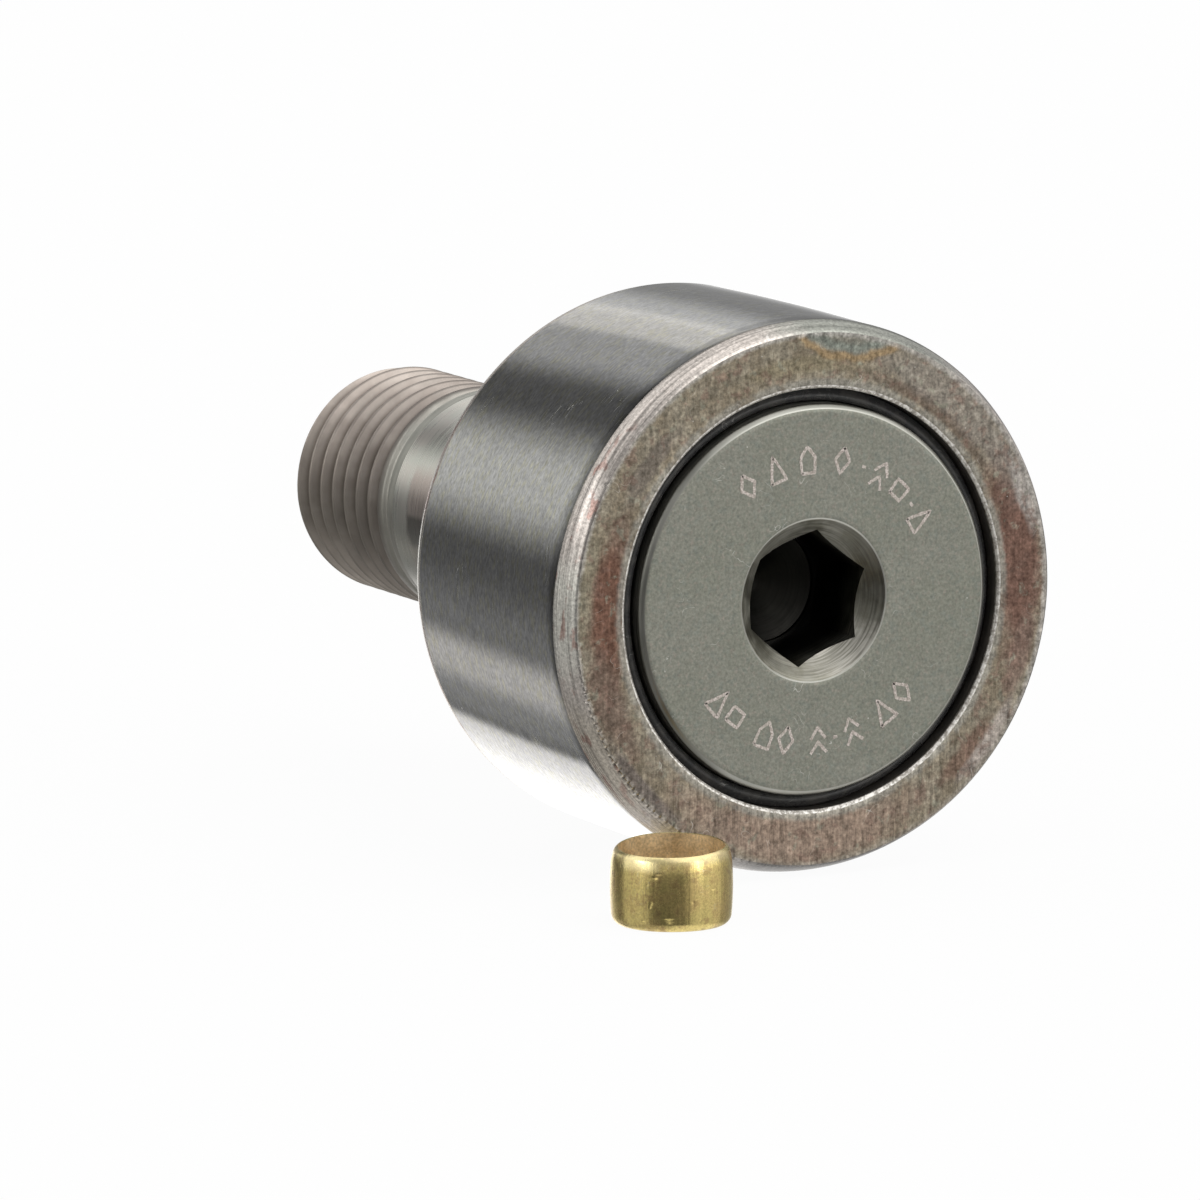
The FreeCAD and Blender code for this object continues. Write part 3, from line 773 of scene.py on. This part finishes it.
def make_ring():
    angles = full_turn(1440)
    tread, corner, face, bore, edge = range(5)
    shoulder_front = RING_FRONT + COUNTERBORE_DEPTH
    shoulder_rear = RING_REAR - COUNTERBORE_DEPTH
    corners = [
        ((BORE_RADIUS + BORE_BREAK, RING_FRONT), face, 12, 0),
        ((FACE_RADIUS - FACE_LIP, RING_FRONT), corner, 2, 0),
        ((FACE_RADIUS + FACE_LIP * 0.6, RING_FRONT + FACE_LIP), corner, 16,
         FRONT_CORNER_ROUND),
        ((FRONT_EDGE_RADIUS, RING_FRONT + FRONT_CORNER_WIDTH), tread, 40, CROWN_RADIUS),
        ((REAR_EDGE_RADIUS, RING_REAR - REAR_CORNER_WIDTH), corner, 10, REAR_CORNER_ROUND),
        ((REAR_FACE_RADIUS, RING_REAR), face, 12, 0),
        ((BORE_RADIUS + BORE_BREAK, RING_REAR), edge, 2, 0),
        ((BORE_RADIUS, RING_REAR - BORE_BREAK), bore, 6, 0),
        ((BORE_RADIUS, shoulder_rear), bore, 3, 0),
        ((RACEWAY_RADIUS + SMALL_BREAK, shoulder_rear), bore, 1, 0),
        ((RACEWAY_RADIUS, shoulder_rear - SMALL_BREAK), bore, 4, 0),
        ((RACEWAY_RADIUS, shoulder_front + SMALL_BREAK), bore, 1, 0),
        ((RACEWAY_RADIUS + SMALL_BREAK, shoulder_front), bore, 3, 0),
        ((BORE_RADIUS, shoulder_front), bore, 6, 0),
        ((BORE_RADIUS, RING_FRONT + BORE_BREAK), edge, 3, BORE_BREAK * 1.05),
    ]
    rows_r, rows_y, zones, radius, along = spun(corners, angles)

    # the front corner is narrower at the top than at the bottom, and a little wavy
    width_gain = (CORNER_WAVE * ring_noise(angles, (3, 5, 7), 11)
                  - CORNER_LEAN * np.cos(np.radians(angle_from(angles, 90))))
    depth = rows_y - RING_FRONT
    outside = rows_r > FACE_RADIUS - 0.3
    pull = np.where(outside, soft_step(depth, 0.02, FRONT_CORNER_WIDTH)
                    * (1 - soft_step(depth, FRONT_CORNER_WIDTH, 6.0)), 0)
    along += pull[:, None] * width_gain[None, :]
    face_gain = (FACE_WAVE * ring_noise(angles, (4, 9, 14), 5)
                 - FACE_SHIFT * np.cos(np.radians(angle_from(angles, FACE_SHIFT_SIDE))))
    at_face_edge = np.where(outside, 1 - soft_step(depth, 0.0, 0.7), 0)
    at_face_edge = np.where(np.abs(rows_r - FACE_RADIUS) < 0.45, at_face_edge, 0)
    radius += at_face_edge[:, None] * face_gain[None, :]

    # burrs where the face meets the corner, strongest at the lower left
    window = (soft_step(angle_from(angles, BURR_START), 0, 14)
              * (1 - soft_step(angle_from(angles, BURR_END), 0, 20)))
    teeth = np.sin(BURR_TEETH * angles + 2 * ring_noise(angles, (6, 17), 3))
    bite = BURR_HEIGHT * np.maximum(0, teeth) ** 2 * window
    bite += BURR_HEIGHT * ring_chips(angles, (37, 83, 151, 211), 8, power=2)
    lip = np.exp(-((rows_r - FACE_RADIUS) / BURR_REACH) ** 2) * outside
    along += lip[:, None] * bite[None, :]
    bore_chip = ring_chips(angles, (23, 61, 97, 173), 21, power=3)
    at_bore = (np.abs(rows_r - BORE_RADIUS - BORE_BREAK) < 0.01) & (depth < 0.01)
    radius += at_bore[:, None] * BORE_CHIP * bore_chip[None, :]

    ring = turned_mesh("roller_ring", radius, along, angles, zones,
                       [tread_finish(), corner_finish(), face_finish(), bore_finish(),
                        broken_edge_finish()])
    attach(ring, "roller")
    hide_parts("outer_ring")


def hex_radius(angles):
    """Distance from the axis to the socket's wall."""
    turn = (np.degrees(angles) - (90 - HEX_TURN)) % 60 - 30
    return HEX_APOTHEM / np.cos(np.radians(turn))


def make_stud():
    columns = 720
    angles = np.radians(np.arange(columns) * 0.5 + 0.4)
    head, rim, socket, shank, thread = range(5)
    socket_rows = [
        ((0.0, HEAD_FRONT + PILOT_DEPTH + PILOT_TIP), socket, 4, 0),
        ((PILOT_RADIUS, HEAD_FRONT + PILOT_DEPTH), socket, 1, 0),
        ((PILOT_RADIUS, HEAD_FRONT + HEX_DEPTH), socket, 1, 0),
    ]
    rows_r, rows_y, _ = outline_rows(socket_rows, closed=False)
    wall = hex_radius(angles)
    cone_top = HEAD_FRONT + COUNTERSINK_RADIUS - wall
    grid_r = [np.full(columns, r) for r in rows_r]
    grid_y = [np.full(columns, y) for y in rows_y]
    for share in np.linspace(0, 1, 13):
        grid_r.append(wall)
        grid_y.append(HEAD_FRONT + HEX_DEPTH + (cone_top - HEAD_FRONT - HEX_DEPTH) * share)
    mouth_radius = COUNTERSINK_RADIUS - COUNTERSINK_BEVEL
    mouth_front = HEAD_FRONT + COUNTERSINK_BEVEL
    for share in np.linspace(0.05, 0.95, 12):
        grid_r.append(wall + (mouth_radius - wall) * share)
        grid_y.append(cone_top + (mouth_front - cone_top) * share)
    thread_start = STUD_END - THREAD_LENGTH
    runout_start = thread_start - RUNOUT_LENGTH
    head_rear = HEAD_FRONT + HEAD_THICKNESS
    blank_rows = [
        ((mouth_radius, mouth_front), rim, 2, 0),
        ((COUNTERSINK_RADIUS + COUNTERSINK_BEVEL, HEAD_FRONT + MARK_RELIEF), head, 24, 0),
        ((HEAD_RADIUS - HEAD_BREAK, HEAD_FRONT + MARK_RELIEF), rim, 4, HEAD_EDGE_ROUND),
        ((HEAD_RADIUS, HEAD_FRONT + HEAD_BREAK), rim, 6, 0),
        ((HEAD_RADIUS, head_rear - HEAD_BREAK), rim, 2, 0),
        ((HEAD_RADIUS - HEAD_BREAK, head_rear), rim, 3, 0),
        ((INNER_RACE_RADIUS, head_rear), shank, 5, 0),
        ((INNER_RACE_RADIUS, -SEAT_LENGTH), shank, 1, 0),
        ((SEAT_RADIUS, -SEAT_LENGTH), shank, 3, 0),
        ((SEAT_RADIUS, -SMALL_BREAK), shank, 1, 0),
        ((SHANK_RADIUS, 0.0), shank, 24, 0),
        ((SHANK_RADIUS, runout_start), thread, 96, 0),
        ((CREST_RADIUS, thread_start), thread, 250, 0),
        ((CREST_RADIUS, STUD_END - END_BREAK), thread, 18, 0),
        ((CREST_RADIUS - END_BREAK, STUD_END), shank, 8, 0),
        ((PLUG_SEAT_RADIUS + SMALL_BREAK, STUD_END), shank, 3, 0),
        ((PLUG_SEAT_RADIUS, STUD_END - SMALL_BREAK), shank, 8, 0),
        ((PLUG_SEAT_RADIUS, STUD_END - PLUG_SEAT_DEPTH), shank, 3, 0),
        ((DUCT_RADIUS, STUD_END - PLUG_SEAT_DEPTH - DUCT_MOUTH), shank, 4, 0),
        ((DUCT_RADIUS, HEAD_FRONT + DUCT_TIP_DEPTH + DUCT_TIP), shank, 2, 0),
        ((0.0, HEAD_FRONT + DUCT_TIP_DEPTH), shank, 1, 0),
    ]
    rows_r, rows_y, blank_zones = outline_rows(blank_rows, closed=False)
    for r, y in zip(rows_r, rows_y):
        grid_r.append(np.full(columns, r))
        grid_y.append(np.full(columns, y))
    radius, along = np.array(grid_r), np.array(grid_y)
    zones = [socket] * (len(radius) - len(rows_r)) + blank_zones

    # the right-hand thread: a 60 degree groove along a helix, shallower in the run-out
    phase = (along - thread_start) / PITCH + angles[None, :] / (2 * math.pi)
    from_root = np.abs(phase - np.round(phase)) * PITCH
    root = CREST_RADIUS - THREAD_DEPTH + np.maximum(0, thread_start - along) * RUNOUT_SLOPE
    flank = (from_root - THREAD_ROOT_HALF_FLAT) / FLANK_SLOPE
    flank = (flank + np.sqrt(flank ** 2 + THREAD_BLUNT ** 2)) / 2
    groove = root + flank
    threaded = (along > runout_start - 0.2) & (radius > CREST_RADIUS - END_BREAK - 0.001)
    gap = radius - groove
    softened = radius - (gap + np.sqrt(gap ** 2 + THREAD_BLUNT ** 2)) / 2
    fade = np.where(threaded, soft_step(along, runout_start - 0.2, runout_start + 0.3), 0)
    radius = np.where(threaded, radius + (np.minimum(softened, radius) - radius) * fade, radius)

    stud = turned_mesh("threaded_stud", radius, along, angles, zones,
                       [head_finish(), rim_finish(), socket_finish(), shank_finish(),
                        thread_finish()], closed=False, sharp=32)
    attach(stud, "stud_body")
    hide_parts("stud")


SHAPES = {
    "diamond": [[(0, 0.5), (0.32, 0), (0, -0.5), (-0.32, 0), (0, 0.5)]],
    "triangle": [[(-0.36, -0.5), (0.36, -0.5), (0, 0.5), (-0.36, -0.5)]],
    "house": [[(-0.3, -0.5), (0.3, -0.5), (0.3, 0.1), (0, 0.5), (-0.3, 0.1), (-0.3, -0.5)]],
    "chevrons": [[(-0.32, 0.05), (0, 0.5), (0.32, 0.05)],
                 [(-0.32, -0.5), (0, -0.05), (0.32, -0.5)]],
    "box": [[(-0.3, -0.3), (0.3, -0.3), (0.3, 0.3), (-0.3, 0.3), (-0.3, -0.3)]],
    "dot": [[(-0.09, 0), (0.09, 0)]],
}
UPPER_MARKS = [(122, "diamond"), (108, "triangle"), (93, "house"), (77, "diamond"),
               (66.5, "dot"), (58, "chevrons"), (47, "box"), (38.5, "dot"), (31, "triangle")]
LOWER_MARKS = [(221, "triangle"), (231, "box"), (247, "house"), (257, "diamond"),
               (272, "chevrons"), (280, "dot"), (288, "chevrons"), (304, "triangle"),
               (315, "diamond")]


def make_marks():
    """Etched signs on the head: plain shapes that spell nothing."""
    vertices, faces = [], []
    for marks, upright in ((UPPER_MARKS, 1), (LOWER_MARKS, -1)):
        for centre, shape in marks:
            for stroke in SHAPES[shape]:
                add_stroke(vertices, faces, stroke, math.radians(centre), upright)
    mesh = bpy.data.meshes.new("head_marks")
    mesh.from_pydata(vertices, [], faces)
    mesh.materials.append(mark_finish())
    mesh.update()
    marks = placed("head_marks", mesh)
    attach(marks, "stud_body")


def add_stroke(vertices, faces, stroke, centre, upright):
    """A ribbon along the stroke, with a little raggedness at its sides."""
    points = []
    for (u0, v0), (u1, v1) in zip(stroke, stroke[1:]):
        pieces = max(2, int(math.hypot(u1 - u0, v1 - v0) * MARK_HEIGHT / 0.06))
        for step in range(pieces):
            share = step / pieces
            points.append((u0 + (u1 - u0) * share, v0 + (v1 - v0) * share))
    points.append(stroke[-1])
    first = len(vertices)
    for index, (u, v) in enumerate(points):
        back, ahead = points[max(index - 1, 0)], points[min(index + 1, len(points) - 1)]
        run = math.hypot(ahead[0] - back[0], ahead[1] - back[1]) or 1.0
        side = (-(ahead[1] - back[1]) / run, (ahead[0] - back[0]) / run)
        for hand in (1, -1):
            half = MARK_STROKE / 2 * random.uniform(0.75, 1.2)
            across = upright * (u * MARK_HEIGHT + side[0] * half * hand)
            out = upright * (v * MARK_HEIGHT + side[1] * half * hand)
            angle = centre - across / MARK_RING_RADIUS
            r = MARK_RING_RADIUS + out
            vertices.append((r * math.cos(angle) * MM, HEAD_FRONT * MM,
                             r * math.sin(angle) * MM))
    for index in range(len(points) - 1):
        a = first + index * 2
        faces.append((a, a + 1, a + 3, a + 2))


def make_endplate():
    angles = full_turn(720)
    low, high = box_mm("rear_endplate")
    front, rear = low.y, high.y
    corners = [
        ((SEAT_RADIUS, front), 0, 6, 0),
        ((HEAD_RADIUS - HEAD_BREAK, front), 0, 3, 0),
        ((HEAD_RADIUS, front + HEAD_BREAK), 0, 10, 0),
        ((HEAD_RADIUS, rear - ENDPLATE_BREAK), 0, 6, ENDPLATE_ROUND),
        ((HEAD_RADIUS - ENDPLATE_BREAK, rear), 0, 20, 0),
        ((SEAT_RADIUS + SMALL_BREAK, rear), 0, 3, 0),
        ((SEAT_RADIUS, rear - SMALL_BREAK), 0, 6, 0),
    ]
    rows_r, rows_y, zones, radius, along = spun(corners, angles)
    rim = np.exp(-((rows_r - HEAD_RADIUS + ENDPLATE_BREAK) / 0.12) ** 2) * (rows_y > rear - 0.05)
    chip = ring_chips(angles, (19, 47, 89, 131), 31, power=3)
    along -= rim[:, None] * ENDPLATE_CHIP * chip[None, :]
    plate = turned_mesh("rear_flange", radius, along, angles, zones, [endplate_finish()])
    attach(plate, "stud_body")
    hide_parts("rear_endplate")


def make_seal(name, node, facing, material):
    """A moulded ring: a thrust disc behind and a round lip that faces outwards."""
    low, high = box_mm(node)
    angles = full_turn(720)
    inside, tip = (high.y, low.y) if facing < 0 else (low.y, high.y)
    disc = inside + facing * SEAL_DISC_THICKNESS
    shoulder = tip - facing * SEAL_ROUND
    corners = [
        ((SEAL_LIP_RADIUS, tip - facing * SEAL_LIP_BREAK), 0, 5, 0),
        ((SEAL_LIP_RADIUS + 0.10, tip), 0, 4, 0),
        ((SEAL_OUTER_RADIUS - SEAL_ROUND, tip), 0, 8, 0),
        ((SEAL_OUTER_RADIUS, shoulder), 0, 6, 0),
        ((SEAL_OUTER_RADIUS, inside), 0, 4, 0),
        ((SEAL_HOLE_RADIUS, inside), 0, 3, 0),
        ((SEAL_HOLE_RADIUS, disc), 0, 3, 0),
        ((SEAL_ROOT_RADIUS, disc), 0, 6, 0),
        ((SEAL_ROOT_RADIUS, shoulder), 0, 3, 0),
    ]
    rows_r, rows_y, zones, radius, along = spun(corners, angles)

    # the lip's crown is round, with a shallow dip that holds a second highlight
    inwards = np.abs(rows_y - tip)
    crown = (inwards < SEAL_ROUND + 0.01) & (rows_r > SEAL_LIP_RADIUS - 0.01)
    share = (rows_r - SEAL_LIP_RADIUS) / (SEAL_OUTER_RADIUS - SEAL_LIP_RADIUS)
    drop = SEAL_CROWN * (2 * share - 1) ** 2
    drop += SEAL_DIP * np.exp(-((share - 0.52) / 0.12) ** 2)
    on_top = crown & (inwards < 0.01)
    along -= np.where(on_top, facing * drop, 0)[:, None]
    wave = SEAL_WAVE * ring_noise(angles, (5, 8, 13, 21), 41)
    along -= np.where(crown, facing, 0)[:, None] * np.abs(wave)[None, :]
    seal = turned_mesh(name, radius, along, angles, zones, [material], sharp=50)
    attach(seal, "roller")
    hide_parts(node)


# knocks on the plug's wall: (angle, half angle, height, half height, depth)
KNOCKS = [
    (239, 4.2, 0.52, 0.035, 0.030), (240, 3.4, 0.40, 0.03, 0.024),
    (226, 2.6, 2.25, 0.05, 0.022), (229, 2.0, 2.40, 0.04, 0.02),
    (222, 1.4, 1.15, 0.06, 0.02), (221, 1.0, 1.02, 0.05, 0.02),
    (214, 2.0, 0.45, 0.03, 0.016), (284, 2.2, 1.65, 0.03, 0.012),
    (262, 1.2, 1.2, 0.05, 0.012), (60, 3.0, 1.4, 0.05, 0.02),
    (120, 2.0, 2.0, 0.05, 0.02), (12, 2.4, 0.8, 0.04, 0.02),
]
DENTS = 26
DENT_LIMITS = [(0, 360), (0.5, 1.6), (0.3, 2.7), (0.03, 0.12), (0.002, 0.008)]


def make_plug():
    angles = full_turn(600)
    outside, inside = 0, 1
    corners = [
        ((0.0, 0.0), outside, 1, 0),
        ((PLUG_FOOT_RADIUS - 1.2, 0.0), outside, 1, 0),
        ((PLUG_FOOT_RADIUS, 0.0), outside, 20, PLUG_FOOT_ROUND),
        ((PLUG_FOOT_RADIUS + 0.24, 0.35), outside, 84, PLUG_WALL_ROUND),
        ((PLUG_RIM_RADIUS + 0.112, PLUG_HEIGHT - 0.7), outside, 26, PLUG_NECK_ROUND),
        ((PLUG_RIM_RADIUS + 0.015, PLUG_HEIGHT - 0.19), outside, 16, PLUG_RIM_ROUND),
        ((PLUG_RIM_RADIUS - 0.13, PLUG_HEIGHT), outside, 1, 0),
        ((PLUG_RIM_RADIUS - PLUG_WALL, PLUG_HEIGHT - 0.02), inside, 20, 0),
        ((PLUG_RIM_RADIUS - PLUG_WALL, PLUG_FLOOR + 0.2), inside, 6, 0),
        ((PLUG_RIM_RADIUS - PLUG_WALL - 0.2, PLUG_FLOOR), inside, 8, 0),
        ((0.0, PLUG_FLOOR), inside, 1, 0),
    ]
    rows_r, rows_y, zones, radius, along = spun(corners, angles, closed=False)
    height = plug_low.z + along
    outer = np.where((rows_y > 0.1) & (rows_r > PLUG_RIM_RADIUS - 0.1), 1.0, 0.0)

    # draw lines down the wall, and marks from handling
    lines = ring_noise(angles, (41, 67, 103, 149, 197, 251), 51)
    radius -= outer[:, None] * PLUG_DRAW_LINES * np.abs(lines)[None, :]
    dents = [[rng.uniform(*limits) for limits in DENT_LIMITS] for _ in range(DENTS)]
    for centre, half_angle, at, half_height, depth in KNOCKS + dents:
        around = np.exp(-(angle_from(angles, centre) / half_angle) ** 2)
        upward = np.exp(-((rows_y - at) / half_height) ** 2)
        radius -= (outer * upward)[:, None] * around[None, :] * depth

    # the rim isn't level: it rises behind and to the right
    lift = (PLUG_TILT * np.cos(np.radians(angle_from(angles, PLUG_HIGH_SIDE))) - PLUG_SETTLE
            + PLUG_RIM_WAVE * ring_noise(angles, (2, 3, 5), 61))
    upper = soft_step(rows_y, 1.2, PLUG_HEIGHT)
    height += upper[:, None] * lift[None, :]
    plug = turned_mesh("brass_plug", radius, height, angles, zones,
                       [brass_finish(), brass_inside_finish()], closed=False,
                       centre=PLUG_CENTRE, sharp=40)
    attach(plug, "loose_plug")
    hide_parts("lubrication_plug")


make_ring()
make_stud()
make_marks()
make_endplate()
seal_material = seal_finish()
make_seal("seal_lip_front", "front_seal", -1, seal_material)
make_seal("seal_lip_rear", "rear_seal", 1, seal_material)
make_plug()

needle_material = needle_finish()
for name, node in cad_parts.items():
    if name.startswith("needle_"):
        node.data.materials.clear()
        node.data.materials.append(needle_material)


# ---------------- floor, light and camera

WHITE = (1.0, 1.0, 1.0)
OFF_WHITE = (1.0, 1.0, 0.98)
FLOOR_HALF_SIZE = 4.0
FLOOR_GLOW = 0.955
BACKDROP = (0.98,) * 3


def make_floor():
    mesh = bpy.data.meshes.new("floor")
    signs = ((-1, -1), (1, -1), (1, 1), (-1, 1))
    corners = [(FLOOR_HALF_SIZE * a, FLOOR_HALF_SIZE * b, FLOOR * MM) for a, b in signs]
    mesh.from_pydata(corners, [], [(0, 1, 2, 3)])
    floor = placed("floor", mesh)
    f = Finish("floor_white")
    f.fill(f.shader, Base_Color=(0.035, 0.035, 0.035), Roughness=1.0, Specular_IOR_Level=0.0,
           Emission_Color=WHITE, Emission_Strength=FLOOR_GLOW)
    mesh.materials.append(f.material)
    floor.visible_glossy = False


# Panels round the object. Behind it they are placed by their angle about the Y axis, from
# +X towards +Z; beside and in front of it by their compass angle from +X towards +Y.
# (centre, half width, softness, brightness, colour), angles in degrees
BEHIND = [
    (6, 26, 12, 0.17, WHITE),
    (63, 32, 9, 0.37, WHITE),
    (46, 7, 6, 0.19, WHITE),
    (58.5, 10, 2.0, 0.36, (1.0, 0.95, 0.86)),
    (147.5, 19, 14, 0.60, (1.0, 1.0, 0.96)),
    (222, 22, 14, 0.12, WHITE),
    (232, 9, 6, 0.44, (1.0, 0.96, 0.92)),
    (250, 10, 6, 0.18, WHITE),
    (307, 43, 2.5, 0.96, (1.0, 0.98, 0.97)),
    (316, 38, 14, 0.58, WHITE),
]
BEHIND_BASE = 0.125
BEHIND_NEAR_SIDES = 0.6
LOW_SIDES = [
    (156, 40, 10, 0.40, OFF_WHITE),
    (313, 34, 10, 0.50, OFF_WHITE),
    (25, 40, 15, 0.20, WHITE),
]
HIGH_SIDES = [
    (120, 24, 12, 0.70, OFF_WHITE),
    (160, 26, 10, 0.38, OFF_WHITE),
    (191, 12, 6, 0.8, OFF_WHITE),
    (309, 32, 10, 0.85, OFF_WHITE),
    (295, 6, 4, 2.0, WHITE),
    (15, 40, 15, 0.25, WHITE),
]
# a lamp low over the left side, which gives the plug its brightest spot
LAMP = [(177, 12, 6, 3.1, WHITE)]
SIDES_BASE = 0.13
HIGH_BASE = 0.45
# (left, right) of the object, above it and below it, towards the front and towards the back
ABOVE_FRONT, ABOVE_BACK = (0.55, 1.55), (1.25, 1.0)
BELOW = (0.45, 0.95)
# where one zone fades into the next, by how far a direction points up (z) or back (y)
LOW_TO_HIGH, LAMP_FOOT = (-0.14, 0.24), (0.26, 0.38)
SIDES_TO_ABOVE, SIDES_TO_BELOW = (0.40, 0.62), (-0.46, -0.68)
ABOVE_TO_BACK, SIDES_TO_BEHIND = (-0.1, 0.35), (0.58, 0.74)
NEAR_SIDES = (0.79, 0.845)
LEFT_TO_RIGHT = (-0.5, 0.1)


def make_light():
    world = bpy.data.worlds.new("studio")
    bpy.context.scene.world = world
    world.use_nodes = True
    w = Nodes(world.node_tree)
    split = w.add("SeparateXYZ")
    w.put(split.inputs[0], w.add("TexCoord").outputs["Generated"])
    x, y, z = split.outputs
    about = w.times(w.math("ARCTAN2", z, x), 180 / math.pi)
    compass = w.times(w.math("ARCTAN2", y, x), 180 / math.pi)

    def panels(angle, layout, base):
        total = (base,) * 3
        for centre, half, soft, level, tone in layout:
            away = w.math("ABSOLUTE", w.math("WRAP", w.minus(angle, centre), 180.0, -180.0))
            strength = w.spread(away, half + soft, half - soft)
            total = w.mix(strength, total, tuple(part * level for part in tone), "ADD")
        return total

    def left_to_right(levels):
        left, right = ((level,) * 3 for level in levels)
        return w.mix(w.spread(x, *LEFT_TO_RIGHT), left, right)

    low_sides = panels(compass, LOW_SIDES, SIDES_BASE)
    high_sides = panels(compass, HIGH_SIDES, HIGH_BASE)
    sides = w.mix(w.spread(z, *LOW_TO_HIGH), low_sides, high_sides)
    sides = w.mix(w.spread(z, *LAMP_FOOT), sides, panels(compass, LAMP, 0.0), "ADD")
    above = w.mix(w.spread(y, *ABOVE_TO_BACK),
                  left_to_right(ABOVE_FRONT), left_to_right(ABOVE_BACK))
    sides = w.mix(w.spread(z, *SIDES_TO_ABOVE), sides, above)
    sides = w.mix(w.spread(z, *SIDES_TO_BELOW), sides, left_to_right(BELOW))
    dimmed = w.mix(w.spread(y, *NEAR_SIDES), (BEHIND_NEAR_SIDES,) * 3, WHITE)
    behind = w.mix(1.0, panels(about, BEHIND, BEHIND_BASE), dimmed, "MULTIPLY")
    around = w.mix(w.spread(y, *SIDES_TO_BEHIND), sides, behind)
    seen = w.mix(w.add("LightPath").outputs["Is Camera Ray"], around, BACKDROP)
    background = w.add("Background")
    w.put(background.inputs["Color"], seen)
    w.put(w.add("OutputWorld").inputs[0], background.outputs[0])


def make_camera():
    aim = Vector((-7.37, -9.50, 0.0))
    azimuth, elevation, distance = math.radians(-28.436), math.radians(9.559), 500.0
    back = Vector((math.sin(azimuth) * math.cos(elevation),
                   -math.cos(azimuth) * math.cos(elevation), math.sin(elevation)))
    data = bpy.data.cameras.new("camera")
    data.lens = 380.97
    data.sensor_width = 36.0
    data.clip_start, data.clip_end = 0.01, 20.0
    camera = placed("camera", data)
    camera.location = (aim + back * distance) * MM
    camera.rotation_mode = "QUATERNION"
    camera.rotation_quaternion = (-back).to_track_quat("-Z", "Y")
    bpy.context.scene.camera = camera


make_floor()
make_light()
make_camera()
bpy.context.scene.view_settings.view_transform = "Standard"
